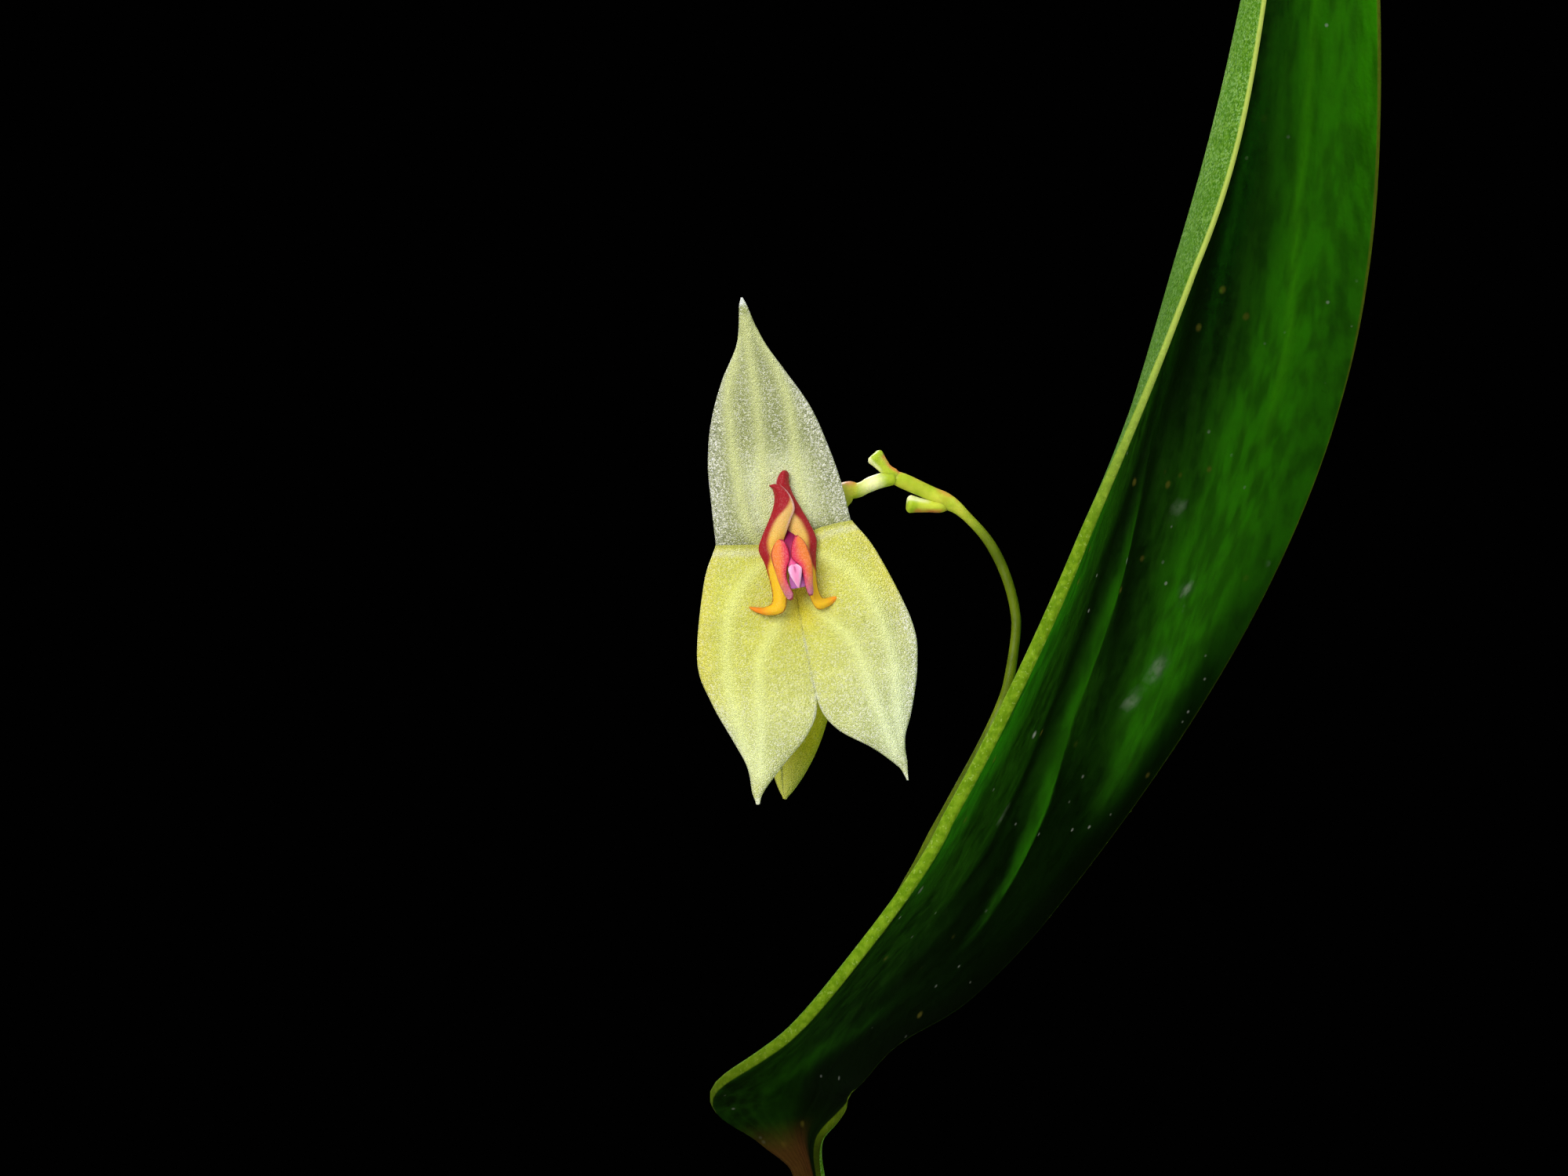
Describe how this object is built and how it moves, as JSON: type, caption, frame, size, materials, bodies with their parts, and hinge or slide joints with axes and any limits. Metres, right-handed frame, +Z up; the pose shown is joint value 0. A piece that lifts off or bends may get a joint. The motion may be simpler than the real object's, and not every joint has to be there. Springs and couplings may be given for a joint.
{
  "type": "potted miniature orchid",
  "caption": "Tufted miniature orchid in a small clay pot of moss, with channelled leaves on sheathed stems and three-pointed flowers.",
  "frame": {"origin": "centre of the underside of the pot's base", "axes": "+Z up; +X to the right and +Y away, seen from the side that the open flower faces"},
  "size_m": [0.1033, 0.0915, 0.1649],
  "materials": {
    "clay": "matt unglazed terracotta",
    "moss": "matt damp sphagnum",
    "sheath": "dry papery ribbed sheaths over a green stem",
    "leaf": "glossy thick leaf with a pale margin",
    "stalk": "satin yellow-green flowering stem",
    "bud": "satin yellow-green bud",
    "pale_sepal": "translucent silvery sepal of glistening cells",
    "yellow_sepal": "translucent yellow sepal of glistening cells",
    "petal": "satin petal, crimson edged on yellow",
    "lip": "velvety orange and rose lip",
    "column": "waxy pink column"
  },
  "bodies": {
    "root": {"pot": "clay", "moss": "moss", "ramicaul_1": "sheath", "ramicaul_2": "sheath", "ramicaul_3": "sheath", "ramicaul_4": "sheath", "ramicaul_5": "sheath", "ramicaul_6": "sheath", "ramicaul_7": "sheath", "ramicaul_8": "sheath", "ramicaul_9": "sheath", "ramicaul_10": "sheath", "leaf_1": "leaf", "leaf_2": "leaf", "leaf_3": "leaf", "leaf_4": "leaf", "leaf_5": "leaf", "leaf_6": "leaf", "leaf_7": "leaf", "leaf_8": "leaf", "leaf_9": "leaf", "leaf_10": "leaf", "inflorescence_1": "stalk", "bud_1": "bud", "dorsal_sepal_2": "pale_sepal", "lateral_sepals_2": "yellow_sepal", "petal_left_2": "petal", "petal_right_2": "petal", "lip_2": "lip", "column_2": "column", "inflorescence_2": "stalk", "bud_2": "bud", "inflorescence_3": "stalk", "bud_3": "bud", "inflorescence_4": "stalk", "bud_4": "bud", "dorsal_sepal_1": "pale_sepal", "lateral_sepals_1": "yellow_sepal", "petal_left_1": "petal", "petal_right_1": "petal", "lip_1": "lip", "column_1": "column"}
  },
  "joints": []
}
